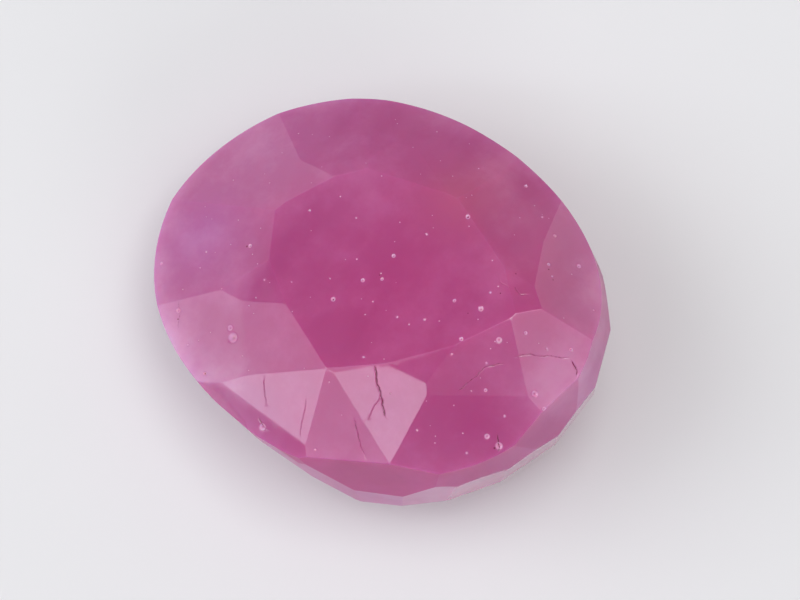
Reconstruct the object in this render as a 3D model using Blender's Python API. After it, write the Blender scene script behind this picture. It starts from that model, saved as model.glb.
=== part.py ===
"""An oval ruby: a brilliant-style crown over a stepped pavilion, lying on one of its pavilion facets.

The stone is cut here as a lapidary cuts it. A plain oval blank is made about the stone's own axis, and
one flat facet after another is ground off it. The finished stone is then laid down on the facet that it
rests on. Lengths are in millimetres until the last step, which brings them to metres.
"""
import math

import bmesh
import bpy
from mathutils import Matrix, Vector

MM = 0.001
ON_PLANE = 1e-6             # a point this close to a cut counts as lying on it
SHARPEST = 0.03             # corners closer together than this are worn down to one

# The oval girdle: the radius at an angle round the stone's axis, with x along the oval
MEAN_RADIUS = 5.60
OVAL = 0.60                 # longer along x and shorter across it
SQUARENESS = 0.07           # fuller between the axes, as in a stone cut by hand
SQUARE_TURN = 56.0
LOPSIDED = 0.03             # one shoulder fuller than the others
LOPSIDED_TURN = 85.0
OFF_CENTRE = Vector((-0.10, 0.01, 0.0))
GIRDLE_SIDES = 120

# Heights along the stone's axis, from the girdle's upper edge
CROWN_HEIGHT = 1.12
BLANK_TOP = 2.0
BLANK_BOTTOM = -8.0

# The crown's facets: turn round the axis, slope from the girdle plane, and how far from the axis
# the facet would meet the girdle plane. The stone was cut by eye, so no two of them are quite alike.
MAINS = (
    (-122, 21.3, 5.24),
    (-100, 27.5, 4.87),
    (-59, 25.1, 5.05),
    (-37, 26.9, 5.23),
    (45, 38.0, 5.27),
    (89, 26.2, 5.08),
    (111, 25.0, 5.33),
    (157, 22.5, 5.72),
)
GIRDLE_FACETS = (
    (-101, 29.7, 4.92),
    (-68, 27.4, 4.94),
    (-42, 32.5, 4.92),
    (-18, 30.5, 5.69),
    (61, 28.8, 5.22),
    (97, 28.0, 5.04),
    (130, 22.6, 5.54),
    (-156, 19.3, 5.86),
)
STARS = (
    (-130, 17.3, 5.88),
    (-120, 19.8, 5.36),
    (-60, 21.2, 5.54),
    (-49, 19.6, 5.84),
    (43, 16.0, 7.40),
    (61, 25.4, 5.37),
    (97, 21.6, 5.49),
    (145, 18.8, 6.14),
)

# Two near-upright flats on the girdle, in the same figures as the crown's facets
GIRDLE_FLATS = (
    (-69, 85.0, 4.91),
    (-18, 85.0, 5.81),
)

# The girdle's thickness, which is least on the thin side
GIRDLE_THICKNESS = 1.60
THIN_SIDE = -118.0
THINNER_BY = 1.40

# The pavilion's upper step: a ring of facets, almost upright along one side of the stone and leaning
# in a little more at the middle of that side
STEP_COUNT = 24
FIRST_STEP = -176.0
STEP_SLOPE = 67.0
UPRIGHT_SIDE = (-112.0, 30.0)
UPRIGHT_SLOPE = 85.0
LEANING_TURN = -10.0
LEANING_BY = 13.0

# The second step lies under the upper one, facet under facet
SECOND_STEP_DEPTH = 3.3
SECOND_STEP_SLOPE = 52.0

# The lowest steps: how many facets, where round the girdle the first one starts, the depth below the
# girdle and the share of the oval through which they pass, and their slope
LOWEST_STEPS = (
    (12, -11.0, 4.3, 0.74, 35.0),
    (6, 135.0, 4.9, 0.46, 20.0),
)

# The facet that the stone lies on, and where it crosses the stone's axis
REST_TURN = 165.0
REST_SLOPE = 17.0
REST_DEPTH = 5.15

RUBY = (0.44, 0.075, 0.21, 1.0)
RUBY_ROUGHNESS = 0.08


def clear_scene():
    """Removes whatever the scene holds."""
    for old in list(bpy.data.objects):
        bpy.data.objects.remove(old, do_unlink=True)


def spoke(turn):
    """Returns the level direction at an angle in degrees round the axis."""
    return Vector((math.cos(math.radians(turn)), math.sin(math.radians(turn)), 0))


def girdle_point(turn):
    """Returns the point of the oval at an angle: a round, an oval, a square and a lopsided part."""
    oval = OVAL * math.cos(math.radians(2 * turn))
    square = SQUARENESS * math.cos(math.radians(4 * turn - SQUARE_TURN))
    lopsided = LOPSIDED * math.cos(math.radians(3 * turn - LOPSIDED_TURN))
    return OFF_CENTRE + (MEAN_RADIUS + oval + square + lopsided) * spoke(turn)


def oval_blank():
    """Returns the uncut blank: an upright oval prism about the stone's axis."""
    blank = bmesh.new()
    outline = [girdle_point(360 * side / GIRDLE_SIDES) for side in range(GIRDLE_SIDES)]
    base = blank.faces.new([blank.verts.new((point.x, point.y, BLANK_BOTTOM)) for point in outline])
    lifted = bmesh.ops.extrude_face_region(blank, geom=[base])
    risen = [part for part in lifted["geom"] if isinstance(part, bmesh.types.BMVert)]
    bmesh.ops.translate(blank, verts=risen, vec=(0, 0, BLANK_TOP - BLANK_BOTTOM))
    bmesh.ops.recalc_face_normals(blank, faces=blank.faces)
    return blank


def facing(turn, slope, down=False):
    """Returns the outward direction of a facet from its turn and its slope, both in degrees."""
    upright = -math.cos(math.radians(slope)) if down else math.cos(math.radians(slope))
    return math.sin(math.radians(slope)) * spoke(turn) + Vector((0, 0, upright))


def grind(stone, point, outward):
    """Takes off all of the stone that lies outside a plane, and leaves a flat facet there."""
    everything = stone.verts[:] + stone.edges[:] + stone.faces[:]
    cut = bmesh.ops.bisect_plane(
        stone, geom=everything, dist=ON_PLANE, plane_co=point, plane_no=outward, clear_outer=True)
    rim = [part for part in cut["geom_cut"] if isinstance(part, bmesh.types.BMEdge)]
    if rim:
        bmesh.ops.contextual_create(stone, geom=rim)


def cut_crown(stone):
    """Cuts the table, then every facet between it and the girdle, then the girdle's two flats."""
    grind(stone, Vector((0, 0, CROWN_HEIGHT)), Vector((0, 0, 1)))
    for turn, slope, reach in MAINS + GIRDLE_FACETS + STARS + GIRDLE_FLATS:
        grind(stone, reach * spoke(turn), facing(turn, slope))


def girdle_thickness(turn):
    """Returns how far the upright girdle runs down before the pavilion starts."""
    near_thin = max(0.0, math.cos(math.radians(turn - THIN_SIDE)))
    return GIRDLE_THICKNESS - THINNER_BY * near_thin ** 2


def upper_step_slope(turn):
    """Returns the slope of the upper step's facet that has its middle at a turn."""
    first, last = UPRIGHT_SIDE
    if not first < turn < last:
        return STEP_SLOPE
    near_leaning = max(0.0, math.cos(math.radians(turn - LEANING_TURN)))
    return UPRIGHT_SLOPE - LEANING_BY * near_leaning ** 4


def girdle_shares(count, first_turn):
    """Yields each share of the girdle: its middle turn, the middle of its chord and where that faces."""
    width = 360 / count
    for number in range(count):
        start = first_turn + number * width
        chord = girdle_point(start + width) - girdle_point(start)
        middle = (girdle_point(start + width) + girdle_point(start)) / 2
        yield start + width / 2, middle, math.degrees(math.atan2(-chord.x, chord.y))


def cut_upper_steps(stone):
    """Cuts the first ring of the pavilion, which leaves the girdle above it, and the ring under it."""
    for turn, middle, outward_turn in girdle_shares(STEP_COUNT, FIRST_STEP):
        slope = upper_step_slope(turn)
        thickness = girdle_thickness(turn)
        inset = (SECOND_STEP_DEPTH - thickness) / math.tan(math.radians(slope))
        upper_foot = middle - Vector((0, 0, thickness))
        lower_foot = middle - inset * spoke(outward_turn) - Vector((0, 0, SECOND_STEP_DEPTH))
        grind(stone, upper_foot, facing(outward_turn, slope, down=True))
        grind(stone, lower_foot, facing(outward_turn, SECOND_STEP_SLOPE, down=True))


def cut_lowest_steps(stone):
    """Cuts the slacker rings towards the point, one facet after another."""
    for count, first_turn, depth, share, slope in LOWEST_STEPS:
        for _, middle, outward_turn in girdle_shares(count, first_turn):
            grind(stone, share * middle - Vector((0, 0, depth)), facing(outward_turn, slope, down=True))


def lay_down(stone):
    """Turns the resting facet downwards, sets it on the ground and centres the stone over the origin."""
    down = facing(REST_TURN, REST_SLOPE, down=True)
    stone.transform(down.rotation_difference(Vector((0, 0, -1))).to_matrix().to_4x4())
    corners = [vert.co for vert in stone.verts]
    low = Vector([min(corner[axis] for corner in corners) for axis in range(3)])
    high = Vector([max(corner[axis] for corner in corners) for axis in range(3)])
    middle = (low + high) / 2
    stone.transform(Matrix.Translation((-middle.x, -middle.y, -low.z)))
    stone.transform(Matrix.Scale(MM, 4))


def ruby_material():
    """Returns the stone's plain material."""
    material = bpy.data.materials.new("ruby")
    material.use_nodes = True
    shader = material.node_tree.nodes["Principled BSDF"]
    shader.inputs["Base Color"].default_value = RUBY
    shader.inputs["Roughness"].default_value = RUBY_ROUGHNESS
    shader.inputs["Metallic"].default_value = 0.0
    return material


def build_ruby():
    """Cuts the stone, lays it down and puts it in the scene."""
    stone = oval_blank()
    cut_crown(stone)
    cut_upper_steps(stone)
    cut_lowest_steps(stone)
    grind(stone, Vector((0, 0, -REST_DEPTH)), facing(REST_TURN, REST_SLOPE, down=True))
    bmesh.ops.remove_doubles(stone, verts=stone.verts, dist=SHARPEST)
    lay_down(stone)
    mesh = bpy.data.meshes.new("ruby")
    stone.to_mesh(mesh)
    stone.free()
    mesh.materials.append(ruby_material())
    bpy.context.scene.collection.objects.link(bpy.data.objects.new("ruby", mesh))


clear_scene()
build_ruby()
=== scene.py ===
"""The look of a cut oval ruby that lies on white paper.

The stone's mesh is worked out from the flat planes that bound it, with worn edges, pits and fine
cracks. Its own frame has x along the oval and z along the axis that it was cut about, in millimetres.
"""

import logging
import math
from dataclasses import dataclass, field
from enum import Enum

import bmesh
import bpy
import numpy as np
from mathutils import Matrix, Vector
from mathutils.geometry import delaunay_2d_cdt


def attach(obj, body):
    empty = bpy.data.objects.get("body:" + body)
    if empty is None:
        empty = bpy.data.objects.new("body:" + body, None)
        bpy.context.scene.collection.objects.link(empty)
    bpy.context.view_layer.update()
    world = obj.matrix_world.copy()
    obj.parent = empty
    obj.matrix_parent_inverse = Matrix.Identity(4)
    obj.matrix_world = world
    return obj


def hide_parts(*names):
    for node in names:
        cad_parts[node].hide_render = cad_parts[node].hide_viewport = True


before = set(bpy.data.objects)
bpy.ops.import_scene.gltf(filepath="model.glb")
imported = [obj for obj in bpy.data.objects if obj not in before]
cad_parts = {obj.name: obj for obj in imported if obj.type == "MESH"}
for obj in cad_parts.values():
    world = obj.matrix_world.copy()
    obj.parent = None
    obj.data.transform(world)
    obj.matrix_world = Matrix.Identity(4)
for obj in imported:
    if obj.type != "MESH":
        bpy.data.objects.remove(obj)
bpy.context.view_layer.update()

MM = 0.001
LOG = logging.getLogger("ruby")

SAME_POINT = 1e-7           # metres: the plain solid's loose corners closer than this are one
SAME_PLANE = 0.7            # degrees: triangles that differ by less lie in one facet
ON_CUT = 1e-8               # metres: a point this close to a cut counts as lying on it
SHARPEST = 2e-6             # metres: corners that a cut leaves closer than this are made one
NEGLIGIBLE = 1e-6           # millimetres: a difference too small to matter
GRAZING = 0.05              # a heading that turns less than this towards a plane never meets it
AT_ONCE = -1e9              # a rate at which a plane is met straight away, so that it plays no part
ABOVE = 9.0                 # millimetres: a height well above the stone's table
LATTICE_RISE = 0.87         # the height of an even triangle over its side
LEAST_MITRE = 0.05          # keeps the point inside a very sharp corner from running far away
SLANT = (0.788, 0.152, 0.597)       # the direction of the window's long side


class Blend(Enum):
    """How one colour is laid over another."""

    COVER = "MIX"
    TINT = "MULTIPLY"


@dataclass(frozen=True)
class StoneAxes:
    """The frame the stone was cut in, laid down as the stone lies.

    Attributes:
        lean: How far the axis leans, in degrees.
        lean_turn: The turn round the axis of the side that the stone lies on, in degrees.
        middle: Where the axis crosses the girdle's upper edge, in millimetres.
    """

    lean: float = 17.0
    lean_turn: float = 165.0
    middle: tuple[float, float, float] = (-0.136, 0.041, 4.925)

    def turned(self) -> np.ndarray:
        """Returns the rotation from the stone's frame to the world's."""
        lean, turn = math.radians(self.lean), math.radians(self.lean_turn)
        resting = Vector((math.sin(lean) * math.cos(turn), math.sin(lean) * math.sin(turn), -math.cos(lean)))
        return np.array(resting.rotation_difference(Vector((0, 0, -1))).to_matrix())

    def to_world(self, points: np.ndarray) -> np.ndarray:
        """Returns points of the stone's frame in the world, both in millimetres."""
        return points @ self.turned().T + np.array(self.middle)

    def upward(self) -> np.ndarray:
        """Returns the direction of the stone's axis in the world."""
        return self.turned()[:, 2]

    def spoke(self, turn: float) -> np.ndarray:
        """Returns the direction out from the axis at a turn in degrees, in the world."""
        return self.turned() @ np.array([math.cos(math.radians(turn)), math.sin(math.radians(turn)), 0.0])


@dataclass(frozen=True)
class FacetPlanes:
    """The flat planes that bound a convex stone.

    Attributes:
        outward: The outward direction of each plane, one row each.
        reach: The distance of each plane from the world's origin, in millimetres.
    """

    outward: np.ndarray
    reach: np.ndarray

    def worn(self, points: np.ndarray, wear: float) -> tuple[np.ndarray, np.ndarray]:
        """Draws points in to a surface whose edges are worn round.

        The distance outside the stone is a soft maximum over the planes: wear times the logarithm of
        the sum of exp(distance / wear). It is nothing on a flat and grows towards an edge, and one
        step along its slope brings a point to where it is nothing.

        Args:
            points: Points on the planes, in millimetres.
            wear: How far the wear reaches from an edge, in millimetres.

        Returns:
            The points on the worn surface and the outward direction at each.
        """
        outside = (points @ self.outward.T - self.reach) / wear
        largest = outside.max(axis=1, keepdims=True)
        share = np.exp(outside - largest)
        total = share.sum(axis=1, keepdims=True)
        distance = wear * (largest + np.log(total))
        slope = (share / total) @ self.outward
        steep = np.linalg.norm(slope, axis=1, keepdims=True)
        return points - distance * slope / steep ** 2, slope / steep

    def thickness(self, points: np.ndarray, heading: np.ndarray) -> np.ndarray:
        """Works out how much stone lies between each point and the far side.

        The way to a plane is the point's gap from it over the share of the heading that goes towards
        it. The shortest way to any plane is the thickness.

        Args:
            points: Points on the stone, in millimetres.
            heading: The direction looked in from each.

        Returns:
            The thickness at each point, in millimetres.
        """
        gap = np.maximum(self.reach - points @ self.outward.T, 0.0)
        towards = heading @ self.outward.T
        through = np.where(towards > GRAZING, gap / np.maximum(towards, GRAZING), np.inf)
        return through.min(axis=1)

    def entry(self, starts: np.ndarray, heading: np.ndarray) -> np.ndarray:
        """Finds where lines from outside the stone first meet it.

        A line is in the stone once it has passed every plane that faces it, so the last of those
        planes is where it meets the stone.

        Args:
            starts: Where the lines start, in millimetres.
            heading: The direction that all of them take.

        Returns:
            The point where each line meets the stone.
        """
        rate = self.outward @ heading
        steps = (self.reach - starts @ self.outward.T) / np.where(rate < 0, rate, AT_ONCE)
        return starts + steps.max(axis=1, keepdims=True) * heading


@dataclass(frozen=True)
class Facet:
    """One flat facet, by its corners in order and its outward direction."""

    corners: np.ndarray
    outward: np.ndarray

    def across(self) -> np.ndarray:
        """Works out the facet's own two directions, which lie in it at right angles.

        Returns:
            The two directions, one row each.
        """
        first = np.cross(self.outward, self.corners[1] - self.corners[0])
        first = first / np.linalg.norm(first)
        return np.array([first, np.cross(self.outward, first)])

    def height(self, points: np.ndarray) -> np.ndarray:
        """Returns how far points stand off the facet's plane, in millimetres."""
        return (points - self.corners.mean(axis=0)) @ self.outward

    def flat(self, points: np.ndarray) -> np.ndarray:
        """Returns points in the facet's own two coordinates."""
        return (points - self.corners.mean(axis=0)) @ self.across().T

    def raised(self, flat: np.ndarray) -> np.ndarray:
        """Returns points in the world from the facet's own two coordinates."""
        return self.corners.mean(axis=0) + flat @ self.across()

    def outline(self, step: float) -> np.ndarray:
        """Places points along the outline, the corners among them.

        Args:
            step: How far apart they may lie, in millimetres.

        Returns:
            The points in order, in the world.
        """
        ends = np.roll(self.corners, -1, axis=0)
        steps = np.linalg.norm(ends - self.corners, axis=1) / step
        counts = np.maximum(np.ceil(steps - NEGLIGIBLE), 1).astype(int)
        edge = np.repeat(np.arange(len(counts)), counts)
        place = np.arange(counts.sum()) - np.repeat(np.cumsum(counts) - counts, counts)
        share = (place / counts[edge])[:, None]
        return self.corners[edge] * (1 - share) + ends[edge] * share

    def inset(self, flat: np.ndarray) -> np.ndarray:
        """Measures how far inside the outline points lie.

        Args:
            flat: Points in the facet's own two coordinates.

        Returns:
            The distance of each from the nearest edge, negative outside the outline.
        """
        corners = self.flat(self.corners)
        sides = np.roll(corners, -1, axis=0) - corners
        sides = sides / np.linalg.norm(sides, axis=1, keepdims=True)
        inward = np.stack([-sides[:, 1], sides[:, 0]], axis=1)
        return (flat @ inward.T - (corners * inward).sum(axis=1)).min(axis=1)


@dataclass(frozen=True)
class ColourZone:
    """A soft cloud of another colour in the stone.

    Attributes:
        place: Where it is along and across the stone, in millimetres.
        radius: How far it spreads, in millimetres.
        tint: Its colour.
        share: How far it takes over at its middle, from 0 to 1.
    """

    place: tuple[float, float]
    radius: float
    tint: tuple[float, float, float]
    share: float

    def over(self, colours: np.ndarray, points: np.ndarray, middle: np.ndarray) -> np.ndarray:
        """Lays the zone over colours, as a bell about its middle.

        Args:
            colours: The colour at each point.
            points: The points, in millimetres.
            middle: The zone's middle on the stone's surface.

        Returns:
            The colour at each point with the zone over it.
        """
        apart = np.linalg.norm(points - middle, axis=1) / self.radius
        share = (self.share * np.exp(-apart ** 2))[:, None]
        return colours * (1 - share) + np.array(self.tint) * share


@dataclass(frozen=True)
class BodyColour:
    """The colour of the stone: pale where it is thin, deep where it is thick, and clouded.

    Attributes:
        thin: The colour at no thickness.
        thick: The colour at full thickness.
        girdle: The colour of the painted shade on the girdle's upright band on the near side.
        full: The thickness in millimetres from which it is as deep as it gets.
        deepening: How much faster the colour deepens in thin stone than in thick stone.
        zones: The clouds of other colours.
    """

    thin: tuple[float, float, float] = (0.70, 0.27, 0.55)
    thick: tuple[float, float, float] = (0.57, 0.090, 0.31)
    # painted shade: the colour that darkens the near side of the girdle
    girdle: tuple[float, float, float] = (0.54, 0.010, 0.24)
    full: float = 6.2
    deepening: float = 1.5
    zones: tuple[ColourZone, ...] = (
        ColourZone((0.9, -0.2), 2.4, (0.57, 0.055, 0.26), 0.75),
        ColourZone((-1.1, 0.0), 1.6, (0.57, 0.075, 0.30), 0.40),
        ColourZone((-4.85, -0.85), 1.3, (0.56, 0.15, 0.50), 0.50),
        ColourZone((-4.2, 2.45), 1.9, (0.62, 0.19, 0.46), 0.40),
        ColourZone((-2.8, 2.65), 1.2, (0.62, 0.17, 0.40), 0.40),
        ColourZone((1.3, 3.1), 1.2, (0.66, 0.15, 0.26), 0.50),
        ColourZone((2.75, 3.25), 1.0, (0.66, 0.18, 0.38), 0.60),
        ColourZone((5.2, 2.35), 0.9, (0.66, 0.18, 0.42), 0.60),
        ColourZone((4.2, 1.6), 0.9, (0.55, 0.05, 0.25), 0.60),
        ColourZone((4.5, -2.2), 1.3, (0.52, 0.045, 0.25), 0.60),
        ColourZone((5.8, -0.6), 1.0, (0.66, 0.20, 0.46), 0.50),
        ColourZone((-1.9, -4.5), 1.2, (0.60, 0.24, 0.46), 0.40),
        ColourZone((-2.0, 1.6), 1.2, (0.64, 0.14, 0.38), 0.60),
        ColourZone((3.7, 2.2), 1.2, (0.66, 0.15, 0.35), 0.45),
        ColourZone((1.9, 3.9), 1.2, (0.65, 0.16, 0.36), 0.40),
        ColourZone((-1.0, 4.4), 1.3, (0.62, 0.14, 0.36), 0.40),
        ColourZone((-3.3, -1.6), 1.2, (0.62, 0.16, 0.42), 0.40),
    )

    def at(self, thickness: np.ndarray, backlit: np.ndarray) -> np.ndarray:
        """Works out the colour for each thickness of stone.

        The share of the thick colour is one less a power of the thickness that is still missing, and
        it is taken back where light comes through from behind.

        Args:
            thickness: The thickness at each point, in millimetres.
            backlit: How far light from behind pales each point, from 0 to 1.

        Returns:
            A colour for each point, one row each.
        """
        share = np.clip(thickness / self.full, 0, 1)
        share = ((1 - (1 - share) ** self.deepening) * (1 - backlit))[:, None]
        return np.array(self.thin) * (1 - share) + np.array(self.thick) * share


@dataclass(frozen=True)
class Pits:
    """Small round pits in the polish.

    Attributes:
        centres: Where the pits are, in millimetres in the world, one row each.
        radii: Their radii in millimetres.
        depths: Their depths in millimetres.
        large: The radius in millimetres from which a pit shows a ground rim and a polished floor.
        rim: How strongly the rim of a large pit shows.
        floor: How strongly the floor of a large pit shows.
        rings: The mesh's rings about a pit, as shares of its radius.
        around: How many points a ring has.
        astray: How far off a facet's plane a pit may lie to be meshed in it, as a share of its radius.
    """

    centres: np.ndarray
    radii: np.ndarray
    depths: np.ndarray
    large: float = 0.055
    rim: float = 3.2
    floor: float = 0.2
    rings: tuple[float, ...] = (0.0, 0.3, 0.55, 0.75, 0.9, 1.06, 1.3)
    around: int = 14
    astray: float = 0.7

    def depth_at(self, points: np.ndarray) -> np.ndarray:
        """Returns how deep the polish is pitted at each point.

        Each pit is a bowl: its depth times the square of one less the square of the distance from its
        centre over its radius.
        """
        return (self.depths * self.bowls(points)).max(axis=1)

    def ground_at(self, points: np.ndarray) -> np.ndarray:
        """Works out how ground each point looks: all of a small pit, and the rim of a large one.

        A rim is the product of a bowl's share of its depth and of what is left of that share, which is
        most halfway down.

        Args:
            points: The points, in millimetres.

        Returns:
            How ground each point is, from 0 to 1.
        """
        bowls = self.bowls(points)
        rims = self.rim * bowls * (1 - bowls) + self.floor * bowls
        return np.where(self.radii > self.large, rims, bowls).max(axis=1)

    def bowls(self, points: np.ndarray) -> np.ndarray:
        """Returns each pit's share of its depth at each point, one column for a pit."""
        apart = np.linalg.norm(points[:, None, :] - self.centres[None], axis=2) / self.radii
        return np.maximum(1 - apart ** 2, 0) ** 2

    def spots(self, facet: Facet) -> np.ndarray:
        """Places the mesh's points about the pits of a facet, in rings.

        Args:
            facet: The facet.

        Returns:
            The points in the facet's own two coordinates.
        """
        centres = facet.flat(self.centres)
        reaching = np.abs(facet.height(self.centres)) < self.astray * self.radii
        here = reaching & (facet.inset(centres) > -self.radii)
        share = np.array(self.rings)
        turn = np.linspace(0, 2 * np.pi, self.around, endpoint=False)
        ring = share[:, None, None] * np.stack([np.cos(turn), np.sin(turn)], axis=-1)[None]
        points = centres[here][:, None, None] + self.radii[here][:, None, None, None] * ring[None]
        return points.reshape(-1, 2)


@dataclass(frozen=True)
class Crack:
    """A crack that reaches the polish.

    Attributes:
        course: Its course along and across the stone, in millimetres.
        strength: How open it is beside the others.
    """

    course: tuple[tuple[float, float], ...]
    strength: float = 1.0


@dataclass(frozen=True)
class Grooves:
    """Fine open cracks that reach the polish.

    Attributes:
        courses: The course of each crack as points close together, in millimetres in the world.
        strengths: How open each crack is at each of its points.
        width: Half the width of a crack in millimetres.
        depth: The depth of a crack in millimetres.
        near: How far from a crack's reach the mesh can still feel it, in millimetres.
        on_facet: How far a crack's course may stand off a facet that it runs in, in millimetres.
        beside: The mesh's rows beside a crack, in half widths.
    """

    courses: tuple[np.ndarray, ...]
    strengths: tuple[np.ndarray, ...]
    width: float = 0.015
    depth: float = 0.012
    near: float = 0.1
    on_facet: float = 0.05
    beside: tuple[float, ...] = (-3.4, -2.2, -1.2, -0.6, 0.0, 0.6, 1.2, 2.2, 3.4)

    def depth_at(self, points: np.ndarray) -> np.ndarray:
        """Works out how deep the cracks are at each point: a narrow bell across the course.

        Args:
            points: The points, in millimetres.

        Returns:
            The depth at each point, in millimetres.
        """
        depth = np.zeros(len(points))
        for course, strength in zip(self.courses, self.strengths):
            reach = self.near + np.ptp(course, axis=0).sum()
            near = np.linalg.norm(points - course.mean(axis=0), axis=1) < reach
            apart = np.linalg.norm(points[near][:, None] - course[None], axis=2)
            bell = strength * self.depth * np.exp(-(apart / (self.width * np.sqrt(strength))) ** 2)
            depth[near] = np.maximum(depth[near], bell.max(axis=1))
        return depth

    def spots(self, facet: Facet) -> np.ndarray:
        """Places the mesh's points in rows beside each crack's course.

        Args:
            facet: The facet.

        Returns:
            The points in the facet's own two coordinates.
        """
        found = [np.empty((0, 2))]
        for course in self.courses:
            close = np.abs(facet.height(course)) < self.on_facet
            flat = facet.flat(course)
            along = np.gradient(flat, axis=0)
            along = along / np.maximum(np.linalg.norm(along, axis=1, keepdims=True), NEGLIGIBLE)
            beside = np.stack([-along[:, 1], along[:, 0]], axis=1)
            shifts = self.width * np.array(self.beside)
            rows = flat[close][:, None] + shifts[None, :, None] * beside[close][:, None]
            found.append(rows.reshape(-1, 2))
        return np.concatenate(found)


@dataclass(frozen=True)
class TrimFacet:
    """A narrow facet ground along the girdle after the rest.

    Attributes:
        turn: The turn round the stone's axis of its middle, in degrees.
        slope: Its slope from the girdle, in degrees.
        reach: How far from the axis it would meet the girdle's upper edge, in millimetres.
    """

    turn: float
    slope: float
    reach: float

    def grind(self, solid: bmesh.types.BMesh, axes: StoneAxes) -> None:
        """Takes off the stone outside the facet and closes the solid with it.

        Args:
            solid: The plain solid.
            axes: The frame the stone was cut in.
        """
        slope, spoke = math.radians(self.slope), axes.spoke(self.turn)
        outward = math.sin(slope) * spoke + math.cos(slope) * axes.upward()
        point = (np.array(axes.middle) + self.reach * spoke) * MM
        everything = solid.verts[:] + solid.edges[:] + solid.faces[:]
        cut = bmesh.ops.bisect_plane(
            solid, geom=everything, dist=ON_CUT, plane_co=point, plane_no=outward, clear_outer=True)
        rim = [part for part in cut["geom_cut"] if isinstance(part, bmesh.types.BMEdge)]
        bmesh.ops.contextual_create(solid, geom=rim)


def merged_facets(node: bpy.types.Object, axes: StoneAxes, trims: tuple[TrimFacet, ...]) -> list[Facet]:
    """Reads the flat facets of the plain solid, in millimetres.

    Args:
        node: The plain solid, whose mesh is loose triangles.
        axes: The frame the stone was cut in.
        trims: The narrow facets that the plain solid does without.

    Returns:
        Its facets, with triangles that lie in one plane made one facet.
    """
    solid = bmesh.new()
    solid.from_mesh(node.data)
    bmesh.ops.remove_doubles(solid, verts=solid.verts, dist=SAME_POINT)
    angle = math.radians(SAME_PLANE)
    bmesh.ops.dissolve_limit(solid, angle_limit=angle, verts=solid.verts, edges=solid.edges)
    for trim in trims:
        trim.grind(solid, axes)
    bmesh.ops.remove_doubles(solid, verts=solid.verts, dist=SHARPEST)
    solid.normal_update()
    facets = [
        Facet(np.array([vert.co for vert in face.verts]) / MM, np.array(face.normal)) for face in solid.faces
    ]
    solid.free()
    return facets


def planes_of(facets: list[Facet], slack: float = 0.006) -> FacetPlanes:
    """Reads the planes of a convex solid's facets.

    Args:
        facets: The facets.
        slack: How far a corner may stand off another facet's plane, in millimetres. The plane of a
            facet too narrow to tell its direction passes through the solid, and is left out.

    Returns:
        The planes.
    """
    outward = np.array([facet.outward for facet in facets])
    reach = np.array([(facet.corners @ facet.outward).mean() for facet in facets])
    corners = np.concatenate([facet.corners for facet in facets])
    bounding = (corners @ outward.T - reach).max(axis=0) < slack
    return FacetPlanes(outward[bounding], reach[bounding])


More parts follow.
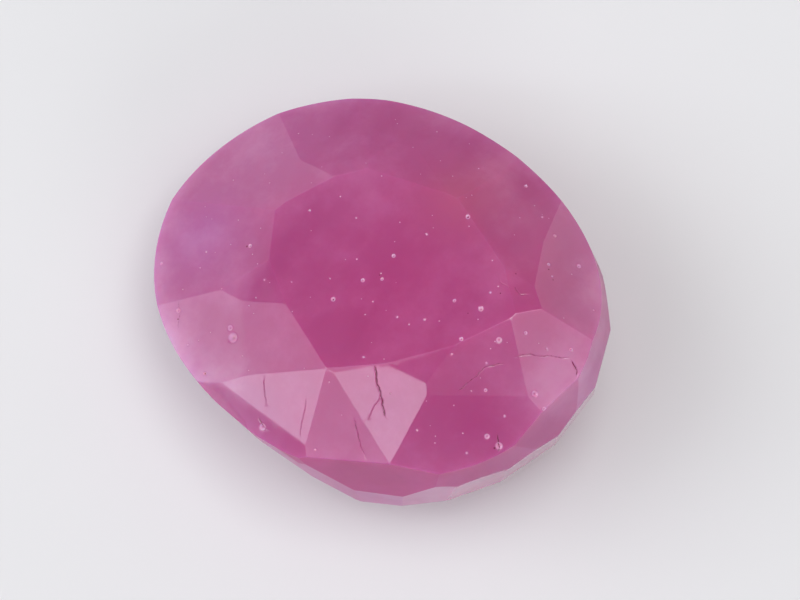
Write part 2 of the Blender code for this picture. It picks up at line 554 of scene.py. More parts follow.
@dataclass
class Ruby:
    """The whole stone: facets with worn edges, pits and cracks.

    Attributes:
        axes: The frame the stone was cut in.
        wear: How far the wear reaches from an edge, in millimetres.
        edge_step: The spacing of points along the edges, in millimetres.
        face_step: The spacing of points on the facets, in millimetres.
        insets: How far inside an edge each row of points lies, in millimetres.
        on_row: The share of a row's inset by which its points have to lie inside the outline.
        clear_of_edges: How far the points of a mark stay from the facets' edges, in millimetres.
        clear_inside: How far the facets' even points stay from the edges, as a share of their spacing.
        clear_of_marks: How far the facets' even points stay from those of a mark, in millimetres.
        pits: The pits seen on the crown: place along and across the stone and radius.
        pit_depth: The depth of a pit over its radius.
        fine_pits: How many pits too small to place one by one.
        fine_spread: How far along and across the stone the fine pits reach, in millimetres.
        fine_radii: The least and the greatest radius of a fine pit, in millimetres.
        trims: The narrow facets that the plain solid does without.
        cracks: The cracks seen on the crown.
        crack_step: The spacing of points along a crack, in millimetres.
        crack_sway: How far a crack wanders at each of them, in millimetres.
        crack_taper: How quickly a crack opens from its ends.
        crack_open: The least and the greatest share of a crack's strength along it.
        specks: The dark specks seen in the crown: place along and across the stone and radius.
        speck_strength: How dark a speck is beside a crack.
        girdle_span: The tilt, as a sine, at which the girdle's ground look has gone.
        straight: How much of the light's way through a facet keeps on along the stone's axis.
        turnover: How quickly the light's way turns from down to up at the girdle.
        through: How far light from behind pales the first step under the girdle.
        first_step: The tilt of the first step from upright, as a sine, and how far that may vary.
        pale_side: The turn round the axis of the side where the girdle is pale too, in degrees.
        deep: How far the painted shade darkens the near side of the girdle.
        near_band: The tilt of the near side of the girdle, as a sine, and how far that may vary.
        near_side: The turn round the axis of the near side, in degrees.
        seed: The start of the scatter and of the cracks' wander.
        body: The stone's colour.
        planes: The planes of the facets, once the stone is built.
    """

    axes: StoneAxes
    wear: float = 0.0012
    edge_step: float = 0.10
    face_step: float = 0.26
    insets: tuple[float, ...] = (0.005, 0.028)
    on_row: float = 0.98
    clear_of_edges: float = 0.006
    clear_inside: float = 0.45
    clear_of_marks: float = 0.05
    pits: tuple[tuple[float, float, float], ...] = (
        (-2.25, 0.80, 0.05), (-1.00, 1.15, 0.04), (-3.30, -0.70, 0.07), (-5.65, -1.95, 0.06),
        (-4.50, -1.25, 0.05), (-2.40, -1.40, 0.05), (0.05, -0.30, 0.07), (0.50, -0.05, 0.06),
        (0.45, 0.65, 0.07), (-0.40, 0.15, 0.04), (-0.40, -1.10, 0.08), (0.60, -0.70, 0.04),
        (1.40, -0.80, 0.05), (1.15, -2.15, 0.05), (0.95, 1.55, 0.05), (1.70, 2.45, 0.08),
        (2.35, 4.10, 0.06), (3.20, 3.50, 0.05), (3.75, 3.20, 0.06), (4.65, 2.80, 0.08),
        (4.10, 2.35, 0.06), (4.35, 2.10, 0.05), (5.60, 1.90, 0.05), (3.30, 0.85, 0.05),
        (3.30, 0.35, 0.09), (2.55, 0.25, 0.06), (2.10, -0.55, 0.05), (3.25, -0.60, 0.07),
        (3.20, -1.05, 0.05), (4.10, -0.15, 0.10), (4.05, -0.80, 0.05), (4.30, -1.40, 0.06),
        (4.60, 0.35, 0.06), (5.20, 0.30, 0.05), (5.70, 0.60, 0.06), (5.40, -0.85, 0.10),
        (5.75, -1.05, 0.07), (-2.55, -3.05, 0.17), (-2.75, -2.85, 0.10), (-4.45, -2.95, 0.09),
        (-3.75, -3.65, 0.05), (-2.90, -4.15, 0.06), (-0.75, -4.75, 0.12), (0.90, -4.70, 0.05),
        (3.15, -3.10, 0.05), (4.75, -2.35, 0.09), (4.95, -1.70, 0.05), (5.10, -2.40, 0.12),
        (4.45, -2.95, 0.05),
    )
    pit_depth: float = 0.4
    fine_pits: int = 90
    fine_spread: tuple[float, float] = (5.6, 4.592)
    fine_radii: tuple[float, float] = (0.018, 0.035)
    trims: tuple[TrimFacet, ...] = (TrimFacet(-100.0, 33.0, 4.805),)
    cracks: tuple[Crack, ...] = (
        Crack(((-1.20, -3.65), (-1.10, -3.90), (-0.85, -4.20)), 0.8),
        Crack(((0.15, -3.65), (0.25, -4.10), (0.40, -4.60)), 0.6),
        Crack(((1.55, -2.20), (1.80, -2.60), (2.05, -2.90), (2.30, -3.20)), 1.5),
        Crack(((2.00, -2.85), (1.90, -3.10), (1.95, -3.35)), 0.6),
        Crack(((1.60, -3.60), (1.80, -3.90), (2.10, -4.25)), 0.8),
        Crack(((3.70, -1.80), (3.85, -1.40), (4.05, -0.90), (4.50, -0.65)), 0.9),
        Crack(((4.55, -0.35), (4.80, -0.10), (5.30, 0.15), (5.80, 0.35)), 0.8),
        Crack(((5.85, 0.35), (6.02, 0.25), (6.08, 0.12)), 1.2),
        Crack(((3.15, 1.45), (3.40, 1.25), (3.70, 1.15)), 0.5),
        Crack(((3.75, 1.30), (4.00, 1.15), (4.20, 1.25)), 0.8),
        Crack(((-4.60, -2.75), (-4.35, -3.05), (-4.20, -3.35)), 0.7),
        Crack(((4.95, -2.15), (5.10, -2.40), (5.15, -2.55)), 1.4),
        Crack(((-0.95, -4.62), (-0.75, -4.72), (-0.60, -4.74)), 1.2),
    )
    crack_step: float = 0.03
    crack_sway: float = 0.008
    crack_taper: float = 4.0
    crack_open: tuple[float, float] = (0.6, 1.0)
    specks: tuple[tuple[float, float, float], ...] = (
        (-0.40, -1.10, 0.035), (1.70, 2.45, 0.040), (-2.90, -4.15, 0.035), (-3.38, -0.74, 0.045),
        (4.18, 2.22, 0.035), (4.42, 2.02, 0.030), (3.62, 1.62, 0.030), (0.38, 0.02, 0.028),
        (3.55, 0.95, 0.030), (-4.35, -3.15, 0.035), (3.05, 0.10, 0.026), (5.02, -2.50, 0.050),
    )
    speck_strength: float = 1.3
    girdle_span: float = 0.25
    straight: float = 0.57
    turnover: float = 3.0
    through: float = 0.88
    first_step: tuple[float, float] = (-0.16, 0.09)
    pale_side: float = -15.0
    deep: float = 0.95
    near_band: tuple[float, float] = (0.03, 0.08)
    near_side: float = -85.0
    seed: int = 7
    body: BodyColour = BodyColour()
    planes: FacetPlanes = field(init=False)

    def build(self, node: bpy.types.Object) -> bpy.types.Object:
        """Makes the stone's mesh over the plain solid.

        Args:
            node: The plain solid.

        Returns:
            The new object, with each point's colour and marks as attributes.
        """
        facets = merged_facets(node, self.axes, self.trims)
        self.planes = planes_of(facets)
        pits, grooves, specks = self.placed_pits(), self.placed_cracks(), self.placed_specks()
        points, triangles = self.meshed(facets, (pits, grooves, specks))
        worn, outward = self.planes.worn(points, self.wear)
        pitted, cracked = pits.depth_at(worn), grooves.depth_at(worn)
        sunk = worn - np.maximum(pitted, cracked)[:, None] * outward
        mesh = bpy.data.meshes.new("ruby_stone")
        mesh.from_pydata(sunk * MM, [], triangles)
        mesh.shade_smooth()
        self.keep(mesh, "body", np.column_stack([self.colours(worn, outward), np.ones(len(worn))]))
        self.keep(mesh, "pit", pits.ground_at(worn))
        dark = self.speck_strength * specks.bowls(worn).max(axis=1)
        self.keep(mesh, "crack", np.maximum(cracked / grooves.depth, dark))
        self.keep(mesh, "girdle", 1 - np.abs(outward @ self.axes.upward()) / self.girdle_span)
        stone = bpy.data.objects.new("ruby_stone", mesh)
        bpy.context.scene.collection.objects.link(stone)
        return stone

    def keep(self, mesh: bpy.types.Mesh, name: str, values: np.ndarray) -> None:
        """Keeps a value or a colour for each of the mesh's points.

        Args:
            mesh: The mesh.
            name: The name to keep them under.
            values: One value for each point, or one row of four for a colour.
        """
        kind, slot = ("FLOAT_COLOR", "color") if values.ndim == 2 else ("FLOAT", "value")
        kept = mesh.attributes.new(name, kind, "POINT")
        kept.data.foreach_set(slot, np.clip(values, 0, 1).astype(np.float32).ravel())

    def colours(self, points: np.ndarray, outward: np.ndarray) -> np.ndarray:
        """Works out the stone's colour at each point of its surface.

        The thickness of stone behind a point decides how deep the colour is. The near side of the girdle then
        takes a darker colour as painted shade, and the clouds are laid over the whole.

        Args:
            points: The points, in millimetres.
            outward: The outward direction at each.

        Returns:
            A colour for each point, one row each.
        """
        thickness = self.planes.thickness(points, self.light_way(outward))
        colours = self.body.at(thickness, self.backlit(outward))
        # painted shade: the near side of the girdle is darkened towards the girdle colour
        band = self.painted_shade_band(outward)[:, None]
        colours = colours * (1 - band) + np.array(self.body.girdle) * band
        middles = self.on_surface(np.array([zone.place for zone in self.body.zones]))
        for zone, middle in zip(self.body.zones, middles):
            colours = zone.over(colours, points, middle)
        return colours

    def light_way(self, outward: np.ndarray) -> np.ndarray:
        """Works out which way light goes on into the stone at each point.

        It is bent from the stone's axis towards the facet's own inward direction. Above the girdle it
        goes down and below it up, and the change from one to the other is gradual at the girdle.

        Args:
            outward: The outward direction at each point.

        Returns:
            The light's direction at each point.
        """
        up = self.axes.upward()
        upward = np.clip(self.turnover * outward @ up, -1, 1)[:, None]
        heading = -((1 - self.straight) * outward + self.straight * upward * up)
        return heading / np.linalg.norm(heading, axis=1, keepdims=True)

    def backlit(self, outward: np.ndarray) -> np.ndarray:
        """Works out how far light from behind pales each point.

        It pales the near-upright first step under the girdle, as a bell over the tilt of the surface.
        Towards the pale side the middle of the bell moves up to the upright girdle.

        Args:
            outward: The outward direction at each point.

        Returns:
            How far each point is paled, from 0 to 1.
        """
        tilt, spread = self.first_step
        pale = np.clip(outward @ self.axes.spoke(self.pale_side), 0, 1) ** 4
        apart = (outward @ self.axes.upward() - tilt * (1 - pale)) / spread
        return self.through * np.exp(-apart ** 2)

    def painted_shade_band(self, outward: np.ndarray) -> np.ndarray:
        """Works out where painted shade darkens the near side of the girdle.

        It is a flat-topped bell over the tilt of the surface, times the square of the share of the
        surface's direction that goes to the near side.

        Args:
            outward: The outward direction at each point.

        Returns:
            How far each point takes the painted shade's colour, from 0 to 1.
        """
        tilt, spread = self.near_band
        near = np.clip(outward @ self.axes.spoke(self.near_side), 0, 1) ** 2
        return self.deep * near * np.exp(-((outward @ self.axes.upward() - tilt) / spread) ** 4)

    def on_surface(self, plan: np.ndarray) -> np.ndarray:
        """Returns the points of the crown over places along and across the stone, in the world."""
        above = self.axes.to_world(np.column_stack([plan, np.full(len(plan), ABOVE)]))
        return self.planes.entry(above, -self.axes.upward())

    def placed_pits(self) -> Pits:
        """Places the pits seen on the crown, with a scatter of finer ones.

        The scatter is even over an oval: the distance from its middle is the root of an even draw.

        Returns:
            The pits.
        """
        rng = np.random.default_rng(self.seed)
        turn = rng.uniform(0, 2 * np.pi, self.fine_pits)
        far = np.sqrt(rng.uniform(0, 1, self.fine_pits))
        along, across = self.fine_spread
        fine = np.column_stack([along * far * np.cos(turn), across * far * np.sin(turn)])
        placed = np.array(self.pits)
        centres = self.on_surface(np.concatenate([placed[:, :2], fine]))
        radii = np.concatenate([placed[:, 2], rng.uniform(*self.fine_radii, self.fine_pits)])
        return Pits(centres, radii, self.pit_depth * radii)

    def placed_specks(self) -> Pits:
        """Returns the dark specks, which leave no dent in the surface."""
        placed = np.array(self.specks)
        return Pits(self.on_surface(placed[:, :2]), placed[:, 2], 0.0 * placed[:, 2])

    def placed_cracks(self) -> Grooves:
        """Places the cracks, each a course that wanders a little to either side.

        A crack closes towards its ends, and how open it is varies from point to point.

        Returns:
            The cracks.
        """
        rng = np.random.default_rng(self.seed + 1)
        courses, strengths = [], []
        for crack in self.cracks:
            knots = np.array(crack.course)
            length = np.concatenate([[0], np.cumsum(np.linalg.norm(np.diff(knots, axis=0), axis=1))])
            place = np.linspace(0, length[-1], max(int(length[-1] / self.crack_step), 4))
            plan = np.column_stack([np.interp(place, length, knots[:, axis]) for axis in range(2)])
            sway = np.cumsum(rng.normal(0, self.crack_sway, plan.shape), axis=0)
            courses.append(self.on_surface(plan + sway - sway.mean(axis=0)))
            share = (np.arange(len(place)) + 0.5) / len(place)
            ends = np.clip(self.crack_taper * np.sin(np.pi * share), 0, 1)
            strengths.append(crack.strength * ends * rng.uniform(*self.crack_open, len(place)))
        return Grooves(tuple(courses), tuple(strengths))

    def meshed(self, facets: list[Facet], marks: tuple[Pits | Grooves, ...]) -> tuple[np.ndarray, np.ndarray]:
        """Covers every facet with triangles that share their points along the edges.

        Args:
            facets: The flat facets.
            marks: The pits, cracks and specks, about which the mesh is finer.

        Returns:
            The points in millimetres and the triangles as rows of three point numbers.
        """
        points, triangles, first = [], [], 0
        for facet in facets:
            own, corners = self.covered(facet, marks)
            points.append(own)
            triangles.append(corners + first)
            first += len(own)
        joined, number = np.unique(np.round(np.concatenate(points), 6), axis=0, return_inverse=True)
        corners = number.reshape(-1)[np.concatenate(triangles)]
        whole = (corners != np.roll(corners, 1, axis=1)).all(axis=1)
        return joined, corners[whole]

    def covered(self, facet: Facet, marks: tuple[Pits | Grooves, ...]) -> tuple[np.ndarray, np.ndarray]:
        """Covers one facet: its outline, rows just inside it, a lattice, and points about its marks.

        The points are joined in the facet's own two coordinates, by triangles none of which has
        another point within its circle. The outline's points keep their exact places, so that
        facets meet along their edges.

        Args:
            facet: The facet.
            marks: The pits, cracks and specks, about which the mesh is finer.

        Returns:
            The points in millimetres and the triangles as rows of three point numbers.
        """
        edge = facet.outline(self.edge_step)
        outline = facet.flat(edge)
        rows = self.rows_inside(facet, outline)
        detail = np.concatenate([mark.spots(facet) for mark in marks])
        detail = detail[facet.inset(detail) > self.clear_of_edges]
        every = np.concatenate([outline, rows, self.lattice(facet, outline, detail), detail])
        loop = [(place, (place + 1) % len(outline)) for place in range(len(outline))]
        spots = [Vector(point) for point in every]
        placed, _, faces, sources, *_ = delaunay_2d_cdt(spots, loop, [], 1, NEGLIGIBLE)
        flat, corners = np.array(placed), np.array(faces)
        source = np.array([origin[0] if origin else len(edge) for origin in sources])
        solid = facet.raised(flat)
        solid[source < len(edge)] = edge[source[source < len(edge)]]
        side = flat[corners]
        turn = np.cross(side[:, 1] - side[:, 0], side[:, 2] - side[:, 0])
        corners[turn < 0] = corners[turn < 0][:, ::-1]
        return solid, corners

    def lattice(self, facet: Facet, outline: np.ndarray, detail: np.ndarray) -> np.ndarray:
        """Places an even lattice of triangles over a facet, clear of its outline and its marks.

        Args:
            facet: The facet.
            outline: The points along its outline, in its own two coordinates.
            detail: The points about its marks, in the same.

        Returns:
            The lattice's points, in the same.
        """
        low, high = outline.min(axis=0), outline.max(axis=0)
        wide, tall = np.ceil((high - low) / self.face_step).astype(int) + 1
        column, row = np.meshgrid(np.arange(wide), np.arange(tall))
        places = np.column_stack([(column + 0.5 * (row % 2)).ravel(), LATTICE_RISE * row.ravel()])
        places = places * self.face_step + low
        places = places[facet.inset(places) > self.clear_inside * self.face_step]
        if len(detail) and len(places):
            apart = np.linalg.norm(places[:, None] - detail[None], axis=2).min(axis=1)
            places = places[apart > self.clear_of_marks]
        return places

    def rows_inside(self, facet: Facet, outline: np.ndarray) -> np.ndarray:
        """Places rows of points that follow a facet's outline just inside it, corners mitred.

        The way in at a point is the mean of its two sides' inward directions, made so long that each
        side is left by the same distance.

        Args:
            facet: The facet.
            outline: The points along its outline, in its own two coordinates.

        Returns:
            The rows' points, in the same.
        """
        ahead = np.roll(outline, -1, axis=0) - outline
        ahead = ahead / np.linalg.norm(ahead, axis=1, keepdims=True)
        inward = np.stack([-ahead[:, 1], ahead[:, 0]], axis=1)
        both = inward + np.roll(inward, 1, axis=0)
        mitre = 2 * both / np.maximum((both ** 2).sum(axis=1, keepdims=True), LEAST_MITRE)
        rows = np.concatenate([outline + inset * mitre for inset in self.insets])
        margin = np.repeat(self.insets, len(outline))
        return rows[facet.inset(rows) > self.on_row * margin]


@dataclass(frozen=True)
class Noise:
    """How a noise looks, and between which of its values a mark made from it comes up.

    Attributes:
        scale: Its scale, per metre.
        detail: How many finer noises are laid over it.
        rough: How strong each of those is beside the one before.
        low: The value up to which the mark doesn't show.
        high: The value from which it shows fully.
    """

    scale: float
    detail: float
    rough: float
    low: float = 0.0
    high: float = 1.0


@dataclass(frozen=True)
class Nodes:
    """A material's node tree, with short ways to add and join nodes."""

    tree: bpy.types.NodeTree

    def add(self, kind: str, **settings: object) -> bpy.types.Node:
        """Adds a node.

        Args:
            kind: The kind of node.
            settings: Its properties by name.

        Returns:
            The node.
        """
        node = self.tree.nodes.new(kind)
        for name, value in settings.items():
            setattr(node, name, value)
        return node

    def join(self, start: bpy.types.NodeSocket, end: bpy.types.NodeSocket) -> None:
        """Joins one socket to another."""
        self.tree.links.new(start, end)

    def stretched(
        self, place: bpy.types.NodeSocket, scale: tuple[float, float, float], turn: float
    ) -> bpy.types.NodeSocket:
        """Turns and scales places.

        Args:
            place: The places.
            scale: The scale along each axis.
            turn: The turn about the upright, in degrees.

        Returns:
            The new places.
        """
        mapping = self.add("ShaderNodeMapping")
        mapping.inputs["Rotation"].default_value = (0.0, 0.0, math.radians(turn))
        mapping.inputs["Scale"].default_value = scale
        self.join(place, mapping.inputs["Vector"])
        return mapping.outputs["Vector"]

    def noise(self, place: bpy.types.NodeSocket, look: Noise) -> bpy.types.NodeSocket:
        """Adds a noise over places.

        Args:
            place: The places.
            look: How the noise looks.

        Returns:
            The noise's value.
        """
        noise = self.add("ShaderNodeTexNoise")
        noise.inputs["Scale"].default_value = look.scale
        noise.inputs["Detail"].default_value = look.detail
        noise.inputs["Roughness"].default_value = look.rough
        self.join(place, noise.inputs["Vector"])
        return noise.outputs["Fac"]

    def ranged(
        self, value: bpy.types.NodeSocket, low: float, high: float, first: float = 0.0, last: float = 1.0
    ) -> bpy.types.NodeSocket:
        """Brings a value from one range to another, gently at both ends, and holds it there.

        Args:
            value: The value.
            low: The start of its own range.
            high: The end of its own range.
            first: The start of the new range.
            last: The end of the new range.

        Returns:
            The value in the new range.
        """
        ranged = self.add("ShaderNodeMapRange", interpolation_type="SMOOTHSTEP")
        for name, number in (("From Min", low), ("From Max", high), ("To Min", first), ("To Max", last)):
            ranged.inputs[name].default_value = number
        self.join(value, ranged.inputs["Value"])
        return ranged.outputs["Result"]

    def bump(
        self,
        height: bpy.types.NodeSocket,
        strength: float,
        rise: float,
        under: bpy.types.NodeSocket | None = None,
    ) -> bpy.types.NodeSocket:
        """Adds a bump over a height.

        Args:
            height: The height, from 0 to 1.
            strength: How strongly the bump shows.
            rise: How far a height of 1 stands up, in metres.
            under: The direction of a bump that this one lies on.

        Returns:
            The surface's direction.
        """
        bump = self.add("ShaderNodeBump")
        bump.inputs["Strength"].default_value = strength
        bump.inputs["Distance"].default_value = rise
        self.join(height, bump.inputs["Height"])
        if under:
            self.join(under, bump.inputs["Normal"])
        return bump.outputs["Normal"]

    def mixed(
        self,
        blend: Blend,
        share: bpy.types.NodeSocket,
        under: bpy.types.NodeSocket,
        over: tuple[float, float, float, float],
    ) -> bpy.types.NodeSocket:
        """Lays a fixed colour over another.

        Args:
            blend: How it is laid.
            share: How far it takes over.
            under: The colour under it.
            over: The fixed colour.

        Returns:
            The new colour.
        """
        mix = self.add("ShaderNodeMix", data_type="RGBA", blend_type=blend.value)
        self.join(share, mix.inputs[0])
        self.join(under, mix.inputs[6])
        mix.inputs[7].default_value = over
        return mix.outputs[2]


@dataclass(frozen=True)
class RubyFinish:
    """Milky ruby: light both passes straight through it and scatters inside it.

    Attributes:
        clear: The share of the light that passes straight through.
        bending: Its index of refraction.
        gloss: How strongly its polish reflects, where 0.5 is a perfect polish.
        absorbed: The colour that the stone lets through.
        absorbing: How strongly it takes light up, per metre.
        scatter: How far red, green and blue travel between scatterings, in metres.
        crack: The colour inside a crack.
        pit: The colour of a pit's ground surface.
        cloud: What the paler clouds do to the stone's colour.
        clouds: The noise that places them.
        veil: What the deeper veils do to it.
        veils: The noise that places them.
        veil_drawn: How the veils' noise is scaled along each axis, which draws them out.
        veil_turn: The turn of the direction that they are drawn out in, in degrees.
        pit_shows: The values of a pit between which its colour comes up.
        crack_shows: The values of a crack between which its colour comes up.
        polish: The least and the greatest roughness of the polish.
        wear: The noise between the two.
        ground: The roughness of the girdle.
        ground_shows: The values of the girdle between which its roughness comes up.
        ripple: The strength of the polish's slow ripple.
        ripples: The noise that the ripple follows.
        ripple_rise: The height of the ripple in metres.
    """

    clear: float = 0.25
    bending: float = 1.76
    gloss: float = 0.36
    absorbed: tuple[float, float, float, float] = (0.96, 0.20, 0.72, 1.0)
    absorbing: float = 130.0
    scatter: tuple[float, float, float] = (0.0009, 0.0003, 0.0005)
    crack: tuple[float, float, float, float] = (0.24, 0.02, 0.09, 1.0)
    pit: tuple[float, float, float, float] = (0.90, 0.45, 0.72, 1.0)
    cloud: tuple[float, float, float, float] = (1.12, 1.50, 1.22, 1.0)
    clouds: Noise = Noise(420.0, 5.0, 0.62, 0.40, 0.68)
    veil: tuple[float, float, float, float] = (0.92, 0.74, 0.88, 1.0)
    veils: Noise = Noise(700.0, 3.0, 0.5, 0.45, 0.75)
    veil_drawn: tuple[float, float, float] = (1.0, 0.25, 1.0)
    veil_turn: float = 35.0
    pit_shows: tuple[float, float] = (0.05, 0.9)
    crack_shows: tuple[float, float] = (0.25, 0.9)
    polish: tuple[float, float] = (0.03, 0.12)
    wear: Noise = Noise(3000.0, 2.0, 0.5)
    ground: float = 0.42
    ground_shows: tuple[float, float] = (0.0, 0.5)
    ripple: float = 0.08
    ripples: Noise = Noise(1400.0, 2.0, 0.5)
    ripple_rise: float = 0.00005

    def made(self) -> bpy.types.Material:
        """Makes the material.

        Returns:
            The material.
        """
        material = bpy.data.materials.new("milky_ruby")
        material.use_nodes = True
        nodes = Nodes(material.node_tree)
        shader = material.node_tree.nodes["Principled BSDF"]
        shader.subsurface_method = "RANDOM_WALK"
        shader.inputs["IOR"].default_value = self.bending
        shader.inputs["Specular IOR Level"].default_value = self.gloss
        shader.inputs["Transmission Weight"].default_value = self.clear
        shader.inputs["Subsurface Weight"].default_value = 1.0
        furthest = max(self.scatter)
        shader.inputs["Subsurface Radius"].default_value = [length / furthest for length in self.scatter]
        shader.inputs["Subsurface Scale"].default_value = furthest
        place = nodes.add("ShaderNodeTexCoord").outputs["Object"]
        nodes.join(self.coloured(nodes, place), shader.inputs["Base Color"])
        nodes.join(self.roughened(nodes, place), shader.inputs["Roughness"])
        rippled = nodes.bump(nodes.noise(place, self.ripples), self.ripple, self.ripple_rise)
        nodes.join(rippled, shader.inputs["Normal"])
        taken = nodes.add("ShaderNodeVolumeAbsorption")
        taken.inputs["Color"].default_value = self.absorbed
        taken.inputs["Density"].default_value = self.absorbing
        nodes.join(taken.outputs["Volume"], material.node_tree.nodes["Material Output"].inputs["Volume"])
        return material

    def coloured(self, nodes: Nodes, place: bpy.types.NodeSocket) -> bpy.types.NodeSocket:
        """Lays clouds, veils, pits and cracks over the stone's own colour.

        Args:
            nodes: The material's nodes.
            place: The places on the stone.

        Returns:
            The colour.
        """
        body = nodes.add("ShaderNodeAttribute", attribute_name="body").outputs["Color"]
        cloud = nodes.noise(place, self.clouds)
        clouding = nodes.ranged(cloud, self.clouds.low, self.clouds.high)
        clouded = nodes.mixed(Blend.TINT, clouding, body, self.cloud)
        veil = nodes.noise(nodes.stretched(place, self.veil_drawn, self.veil_turn), self.veils)
        veiling = nodes.ranged(veil, self.veils.low, self.veils.high)
        veiled = nodes.mixed(Blend.TINT, veiling, clouded, self.veil)
        pit = nodes.add("ShaderNodeAttribute", attribute_name="pit").outputs["Fac"]
        pitted = nodes.mixed(Blend.COVER, nodes.ranged(pit, *self.pit_shows), veiled, self.pit)
        crack = nodes.add("ShaderNodeAttribute", attribute_name="crack").outputs["Fac"]
        return nodes.mixed(Blend.COVER, nodes.ranged(crack, *self.crack_shows), pitted, self.crack)

    def roughened(self, nodes: Nodes, place: bpy.types.NodeSocket) -> bpy.types.NodeSocket:
        """Works out the roughness: that of the polish, or that of the girdle where it is more.

        Args:
            nodes: The material's nodes.
            place: The places on the stone.

        Returns:
            The roughness.
        """
        wear = nodes.noise(place, self.wear)
        worn = nodes.ranged(wear, self.wear.low, self.wear.high, *self.polish)
        girdle = nodes.add("ShaderNodeAttribute", attribute_name="girdle").outputs["Fac"]
        rough = nodes.add("ShaderNodeMath", operation="MAXIMUM")
        nodes.join(worn, rough.inputs[0])
        nodes.join(nodes.ranged(girdle, *self.ground_shows, 0.0, self.ground), rough.inputs[1])
        return rough.outputs["Value"]


@dataclass(frozen=True)
class PaperFinish:
    """Matt white paper.

    Attributes:
        white: Its colour.
        grain: The strength of its fine grain.
        grains: The noise that the grain follows.
        grain_rise: The height of the grain in metres.
        wave: The strength of its slow waves.
        waves: The noise that the waves follow.
        wave_rise: The height of the waves in metres.
        rough: Its roughness.
    """

    white: tuple[float, float, float, float] = (0.80, 0.80, 0.81, 1.0)
    grain: float = 0.03
    grains: Noise = Noise(900.0, 3.0, 0.5)
    grain_rise: float = 0.0001
    wave: float = 0.35
    waves: Noise = Noise(140.0, 2.0, 0.5)
    wave_rise: float = 0.0002
    rough: float = 0.85

    def made(self) -> bpy.types.Material:
        """Makes the material.

        Returns:
            The material.
        """
        material = bpy.data.materials.new("white_paper")
        material.use_nodes = True
        nodes = Nodes(material.node_tree)
        shader = material.node_tree.nodes["Principled BSDF"]
        shader.inputs["Base Color"].default_value = self.white
        shader.inputs["Roughness"].default_value = self.rough
        place = nodes.add("ShaderNodeTexCoord").outputs["Object"]
        waved = nodes.bump(nodes.noise(place, self.waves), self.wave, self.wave_rise)
        grained = nodes.bump(nodes.noise(place, self.grains), self.grain, self.grain_rise, waved)
        nodes.join(grained, shader.inputs["Normal"])
        return material


@dataclass(frozen=True)
class SoftLight:
    """A rectangular soft light that faces the stone.

    Attributes:
        name: What the light is called.
        towards: The direction from the stone to the light.
        along: The direction of its long side.
        size: Its long and its short side in metres.
        power: Its power in watts.
        colour: Its colour.
        distance: Its distance in metres.
    """

    name: str
    towards: tuple[float, float, float]
    along: tuple[float, float, float]
    size: tuple[float, float]
    power: float
    colour: tuple[float, float, float] = (1.0, 1.0, 1.0)
    distance: float = 0.4

    def place(self) -> bpy.types.Object:
        """Puts the light into the scene.

        Returns:
            The light's object.
        """
        data = bpy.data.lights.new(self.name, "AREA")
        data.shape = "RECTANGLE"
        data.size, data.size_y = self.size
        data.energy = self.power
        data.color = self.colour
        lamp = bpy.data.objects.new(self.name, data)
        back = Vector(self.towards).normalized()
        side = Vector(self.along)
        side = (side - side.dot(back) * back).normalized()
        turned = Matrix((side, back.cross(side), back)).transposed()
        lamp.matrix_world = Matrix.Translation(self.distance * back) @ turned.to_4x4()
        lamp.visible_camera = False
        bpy.context.scene.collection.objects.link(lamp)
        return lamp


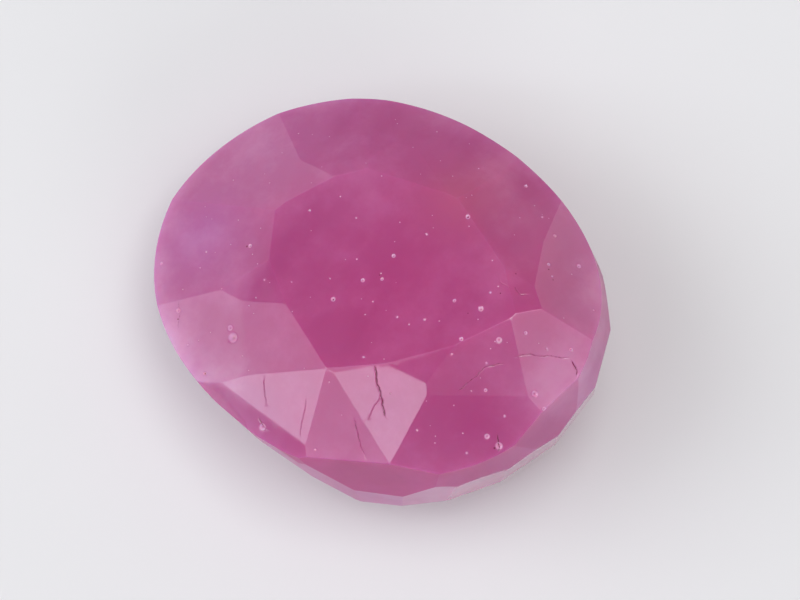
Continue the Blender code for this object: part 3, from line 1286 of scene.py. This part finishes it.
@dataclass(frozen=True)
class Studio:
    """White paper under a pale sky of light, with a window's worth of light from the left.

    Attributes:
        sky: The strength of the sky of light.
        paper_side: The side of the sheet in metres.
        lights: The soft lights, each placed where one or a few facets mirror it.
    """

    sky: float = 0.35
    paper_side: float = 0.8
    lights: tuple[SoftLight, ...] = (
        SoftLight("overhead", (0.08, 0.12, 0.990), (1.0, 0.0, 0.0), (0.17, 0.17), 0.44),
        SoftLight("key", (-0.575, -0.176, 0.799), (0.0, 1.0, 0.0), (0.185, 0.185), 0.20),
        SoftLight("window", (-0.566, -0.422, 0.708), SLANT, (0.41, 0.225), 0.36, (0.92, 0.92, 1.0)),
        SoftLight("pane", (-0.440, -0.523, 0.731), SLANT, (0.36, 0.04), 0.098, (0.84, 0.90, 1.0)),
        SoftLight("wall", (-0.956, 0.134, 0.259), (0.139, 0.990, 0.0), (0.40, 0.21), 0.14, (0.93, 0.96, 1.0)),
        SoftLight("side", (0.347, 0.03, 0.938), (1.0, 0.0, 0.0), (0.16, 0.16), 0.095),
        SoftLight("right", (0.723, -0.506, 0.469), (0.57, 0.82, 0.0), (0.26, 0.20), 0.26),
        SoftLight("back", (0.245, 0.925, 0.29), (1.0, 0.0, 0.0), (0.14, 0.14), 0.042),
        SoftLight("fill", (0.121, -0.248, 0.961), (1.0, 0.0, 0.0), (0.06, 0.06), 0.003),
    )

    def build(self) -> bpy.types.Object:
        """Makes the paper, the sky of light and the lights.

        Returns:
            The paper.
        """
        world = bpy.data.worlds.new("studio")
        world.use_nodes = True
        world.node_tree.nodes["Background"].inputs["Strength"].default_value = self.sky
        world.node_tree.nodes["Background"].inputs["Color"].default_value = (1.0, 1.0, 1.0, 1.0)
        bpy.context.scene.world = world
        half = self.paper_side / 2
        corners = np.array([[-half, -half, 0], [half, -half, 0], [half, half, 0], [-half, half, 0]])
        mesh = bpy.data.meshes.new("paper")
        mesh.from_pydata(corners - np.array([0, 0, 0.00001]), [], [(0, 1, 2, 3)])
        mesh.materials.append(PaperFinish().made())
        paper = bpy.data.objects.new("paper", mesh)
        bpy.context.scene.collection.objects.link(paper)
        for light in self.lights:
            light.place()
        bpy.context.scene.view_settings.view_transform = "Standard"
        return paper


@dataclass(frozen=True)
class PhotoCamera:
    """The camera, which looks down at the stone steeply.

    Attributes:
        towards: The direction from the stone to the camera.
        aim: The point that the middle of the picture shows, in metres.
        distance: The distance from that point in metres.
        lens: The focal length in millimetres.
        beside: How far the camera stands off the line to the aim, to its right and upwards, in metres.
    """

    towards: tuple[float, float, float] = (0.0842, -0.1527, 0.9847)
    aim: tuple[float, float, float] = (-0.000136, 0.000041, 0.004925)
    distance: float = 0.130
    lens: float = 222.3
    beside: tuple[float, float] = (0.000632, -0.000376)

    def place(self) -> bpy.types.Object:
        """Puts the camera into the scene and makes it the scene's own.

        Returns:
            The camera's object.
        """
        data = bpy.data.cameras.new("camera")
        data.lens = self.lens
        data.clip_start, data.clip_end = 0.01, 10.0
        camera = bpy.data.objects.new("camera", data)
        turned = Vector(self.towards).to_track_quat("Z", "Y").to_matrix()
        shift = turned @ Vector((*self.beside, self.distance))
        camera.matrix_world = Matrix.Translation(Vector(self.aim) + shift) @ turned.to_4x4()
        bpy.context.scene.collection.objects.link(camera)
        bpy.context.scene.camera = camera
        return camera


def main() -> None:
    """Builds the stone, the studio and the camera."""
    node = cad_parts["ruby"]
    stone = Ruby(StoneAxes()).build(node)
    stone.data.materials.append(RubyFinish().made())
    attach(stone, "root")
    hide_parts("ruby")
    LOG.info("stone: %d points, %d triangles", len(stone.data.vertices), len(stone.data.polygons))
    paper = Studio().build()
    LOG.info("studio: %s", paper.name)
    camera = PhotoCamera().place()
    LOG.info("camera: %s", camera.name)


if __name__ == "__main__":
    logging.basicConfig(level=logging.INFO, format="%(name)s %(message)s")
    main()
